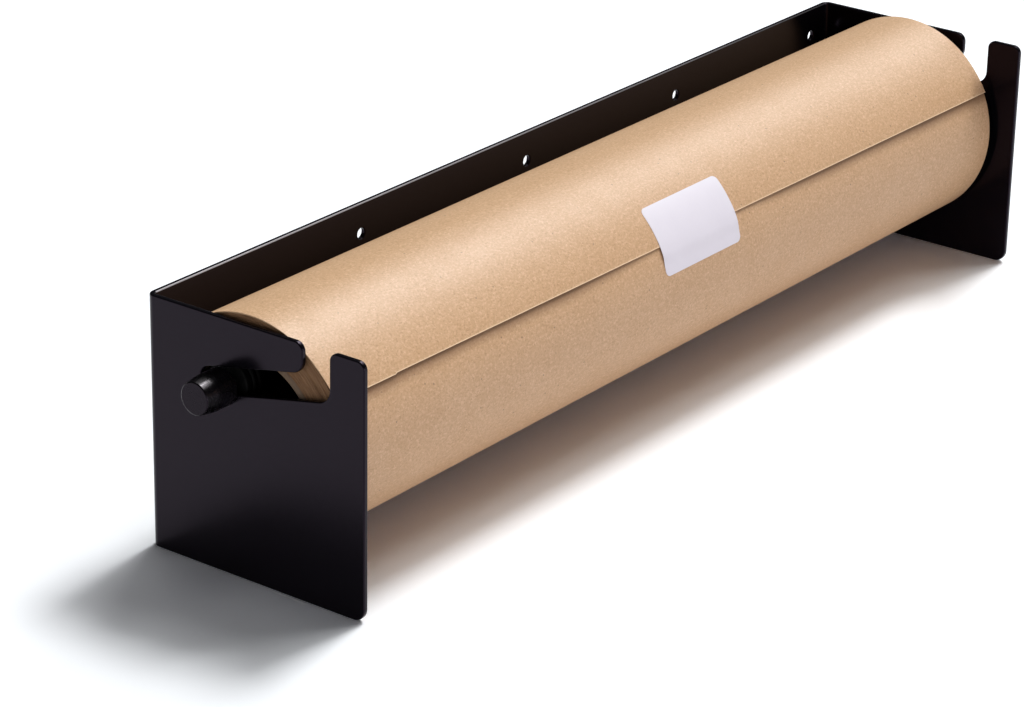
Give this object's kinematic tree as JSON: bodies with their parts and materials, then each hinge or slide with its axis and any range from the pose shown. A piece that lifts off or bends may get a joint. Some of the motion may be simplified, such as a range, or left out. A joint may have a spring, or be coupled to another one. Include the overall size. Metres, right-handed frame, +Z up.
{
  "type": "paper roll holder",
  "caption": "Folded steel holder with open slots in its end plates, a bar with end knobs, and a full roll of kraft wrapping paper.",
  "frame": {"origin": "on the surface that the bracket stands on, under the middle of the bracket", "axes": "+X along the roll, +Y to the back plate and the wall, +Z up"},
  "size_m": [0.6638, 0.14, 0.1427],
  "materials": {
    "bracket": "satin",
    "knob": "gloss",
    "bar": "satin",
    "stud": "satin",
    "end_plug": "matte",
    "grip_ring": "matte",
    "core_board": "matte",
    "kraft_paper": "matte",
    "label": "satin"
  },
  "bodies": {
    "bracket": {"bracket": "bracket"},
    "bar": {"bar_tube": "bar", "end_plug_left": "end_plug", "end_plug_right": "end_plug", "stud_left": "stud", "stud_right": "stud", "grip_ring_left_1": "grip_ring", "grip_ring_left_2": "grip_ring", "grip_ring_right_1": "grip_ring", "grip_ring_right_2": "grip_ring"},
    "roll": {"roll_core": "core_board", "paper_roll": "kraft_paper", "outer_turn": "kraft_paper", "label": "label"},
    "knob_left": {"knob_left": "knob"},
    "knob_right": {"knob_right": "knob"}
  },
  "joints": [
    {"name": "bar_slide", "type": "slide", "parent": "bracket", "child": "bar", "axis": [0, -0.9792, 0.2028], "range_m": [0, 0.061]},
    {"name": "roll_spin", "type": "hinge", "parent": "bar", "child": "roll", "pos_m": [0, 0.0045, 0.08095], "axis": [1, 0, 0], "continuous": true},
    {"name": "knob_left_turn", "type": "hinge", "parent": "bar", "child": "knob_left", "pos_m": [-0.3215, 0.0199, 0.10215], "axis": [-1, 0, 0], "continuous": true},
    {"name": "knob_right_turn", "type": "hinge", "parent": "bar", "child": "knob_right", "pos_m": [0.3215, 0.0199, 0.10215], "axis": [1, 0, 0], "continuous": true}
  ]
}
